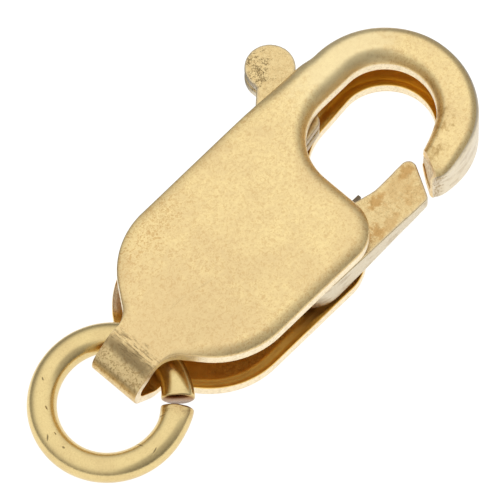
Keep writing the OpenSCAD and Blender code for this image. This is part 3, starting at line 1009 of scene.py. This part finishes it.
ringLook = {
    "gold": (0.79, 0.62, 0.29),
    "tan": (0.66, 0.49, 0.23),
    "nick": (0.14, 0.09, 0.035),
    # the cut end faces, dark brown: partly the torn metal's own tone, partly painted shade in the gap
    # between the ends
    "cutFace": (0.32, 0.16, 0.05),
    "brown": (0.42, 0.24, 0.09),
    "roughness": (0.2, 0.27),
    "grainDepth": 0.0005,
    "nickDepth": -0.01,
    "nicks": (
        (-7.33, 1.51, 0.87, (0.07, 0.022), 60, 0.35),
        (-7.83, 0.9, 0.78, (0.09, 0.03), 70, 0.35),
        (-8.42, 0.32, 0.67, (0.12, 0.035), 40, 0.35),
        (-8.2, 0.24, 0.7, (0.06, 0.02), 80, 0.35),
        (-8.35, -0.2, 0.68, (0.05, 0.03), 100, 0.35),
        (-7.0, -1.67, 0.93, (0.14, 0.025), 100, 0.35),
        (-6.89, -2.11, 0.95, (0.12, 0.02), 10, 0.35),
        (-6.01, -1.58, 1.12, (0.09, 0.02), 140, 0.35),
    ),
}


def ringFinish(look):
    f = Finish("polished_wire", 0.3)
    grain = f.group(grainGroup, Scale=1.2)
    f.paint(look["gold"], 1)
    f.paint(look["tan"], f.times(grain.outputs["Cloud"], 0.5))
    f.paint(look["tan"], f.times(grain.outputs["Grain"], 0.06))
    dents = None
    for place in look["nicks"]:
        nick = f.patch(*place)
        f.paint(look["nick"], f.times(nick, 0.75))
        dents = nick if dents is None else maths(f.tree, "MAXIMUM", dents, nick)
    f.paint(look["brown"], f.times(grain.outputs["Specks"], 0.16))
    pinch = f.mask("pinch")
    f.paint(look["brown"], f.times(pinch, maths(f.tree, "ADD", f.times(grain.outputs["Specks"], 0.5), 0.3)))
    # cut end faces painted dark brown: partly the torn metal's tone, partly painted shade in the gap
    f.paint(look["cutFace"], f.mask("cut"))
    f.bump(grain.outputs["Height"], look["grainDepth"])
    f.bump(dents, look["nickDepth"])
    low, high = look["roughness"]
    return f.done(ranged(f.tree, grain.outputs["Grain"], 0, 1, low, high))


def plainFinish(name, base, dark, roughness):
    f = Finish(name, roughness)
    grain = f.group(grainGroup, Scale=1.6)
    f.paint(base, 1)
    f.paint(dark, f.times(grain.outputs["Cloud"], 0.6))
    f.bump(grain.outputs["Height"], 0.001)
    return f.done()


dress(casePiece, caseFinish(caseLook))
dress(leverPiece, leverFinish(leverLook))
dress(ringPiece, ringFinish(ringLook))
dress(frame["nodes"]["pivot_pin"], plainFinish("drawn_pin", (0.60, 0.43, 0.2), (0.3, 0.19, 0.08), 0.4))
dress(frame["nodes"]["spring"], plainFinish("spring_strip", (0.22, 0.17, 0.11), (0.07, 0.045, 0.025), 0.45))
print("finishes:", len(bpy.data.materials), "materials")

# Floor, light and camera
studio = {
    "azimuth": -47,
    "elevation": 63,
    "lens": 1600,
    "sensor": 36,
    "viewWidth": 13.158,
    "aimX": -1.35,
    "aimY": -0.371,
    "range": (0.01, 50),
    "sky": 1.12,
    "floorHalf": 0.3,
    "floorTone": 0.2,
    "floorRoughness": 0.9,
    "floorGlow": 0.95,
    "farBounce": 0.18,  # how much of the floor's light comes back on the far side
    "farX": (7.8, 9.0),
    "farY": (3.4, 4.4),
    "tent": ((0.0, 0.25), (1.0, 1.0), (0.3, 0.55), (0.6, 0.9), (0.8, 0.97)),  # height and tone
    # the tent's dark opening: where it is, how far it reaches and its tone
    "gapAt": (-0.15, -0.86, 0.49),
    "gapReach": (0.72, 0.93),
    "gapTone": 0.5,
}


def buildStudio(c):
    scene = bpy.context.scene
    aim = inFrame(c["aimX"], c["aimY"], thickness)
    a, e = math.radians(c["azimuth"]), math.radians(c["elevation"])
    back = Vector((math.sin(a) * math.cos(e), -math.cos(a) * math.cos(e), math.sin(e)))
    camera = bpy.data.objects.new("camera", bpy.data.cameras.new("camera"))
    camera.data.lens = c["lens"]
    camera.data.sensor_width = c["sensor"]
    distance = c["viewWidth"] * mm * c["lens"] / c["sensor"]
    camera.location = aim + back * distance
    camera.rotation_mode = "QUATERNION"
    camera.rotation_quaternion = back.to_track_quat("Z", "Y")
    camera.data.clip_start, camera.data.clip_end = c["range"]
    scene.collection.objects.link(camera)
    scene.camera = camera

    floorMesh = bpy.data.meshes.new("floor")
    half = c["floorHalf"]
    corners = [(x * half, y * half, 0) for x, y in ((-1, -1), (1, -1), (1, 1), (-1, 1))]
    floorMesh.from_pydata(corners, [], [(0, 1, 2, 3)])
    floor = bpy.data.objects.new("floor", floorMesh)
    scene.collection.objects.link(floor)
    white = bpy.data.materials.new("floor_white")
    white.use_nodes = True
    tree = white.node_tree
    shader = tree.nodes["Principled BSDF"]
    shader.inputs["Base Color"].default_value = (*[c["floorTone"]] * 3, 1)
    shader.inputs["Roughness"].default_value = c["floorRoughness"]
    shader.inputs["Emission Strength"].default_value = c["floorGlow"]
    seen = tree.nodes.new("ShaderNodeLightPath")
    coords = tree.nodes.new("ShaderNodeTexCoord")
    across = addNode(tree, "ShaderNodeSeparateXYZ", links={0: coords.outputs["Object"]})
    (lowX, highX), (lowY, highY) = c["farX"], c["farY"]
    farX = ranged(tree, across.outputs["X"], lowX * mm + pinAt.x, highX * mm + pinAt.x)
    farY = ranged(tree, across.outputs["Y"], lowY * mm + pinAt.y, highY * mm + pinAt.y)
    bounce = ranged(tree, maths(tree, "MAXIMUM", farX, farY), 0, 1, 1, c["farBounce"])
    glow = maths(tree, "MAXIMUM", bounce, seen.outputs["Is Camera Ray"])
    tree.links.new(glow, shader.inputs["Emission Color"])
    floorMesh.materials.append(white)

    world = bpy.data.worlds.new("tent")
    world.use_nodes = True
    scene.world = world
    tree = world.node_tree
    background = tree.nodes["Background"]
    coords = tree.nodes.new("ShaderNodeTexCoord")
    split = tree.nodes.new("ShaderNodeSeparateXYZ")
    ramp = tree.nodes.new("ShaderNodeValToRGB")
    stops = ramp.color_ramp.elements
    for k, (position, tone) in enumerate(c["tent"]):
        stop = stops[k] if k < 2 else stops.new(position)
        stop.position = position
        stop.color = (tone, tone, tone, 1)
    tree.links.new(coords.outputs["Generated"], split.inputs[0])
    tree.links.new(split.outputs["Z"], ramp.inputs[0])
    toward = addNode(tree, "ShaderNodeVectorMath", {"operation": "DOT_PRODUCT"}, {1: c["gapAt"]},
                     {0: coords.outputs["Generated"]})
    tone = vectorMath(tree, "SCALE", ramp.outputs[0], (0, 0, 0))
    shade = ranged(tree, toward.outputs["Value"], *c["gapReach"], 1, c["gapTone"])
    tree.links.new(shade, tone.node.inputs["Scale"])
    tree.links.new(tone, background.inputs["Color"])
    background.inputs["Strength"].default_value = c["sky"]
    scene.view_settings.view_transform = "Standard"


buildStudio(studio)
print("studio ready")
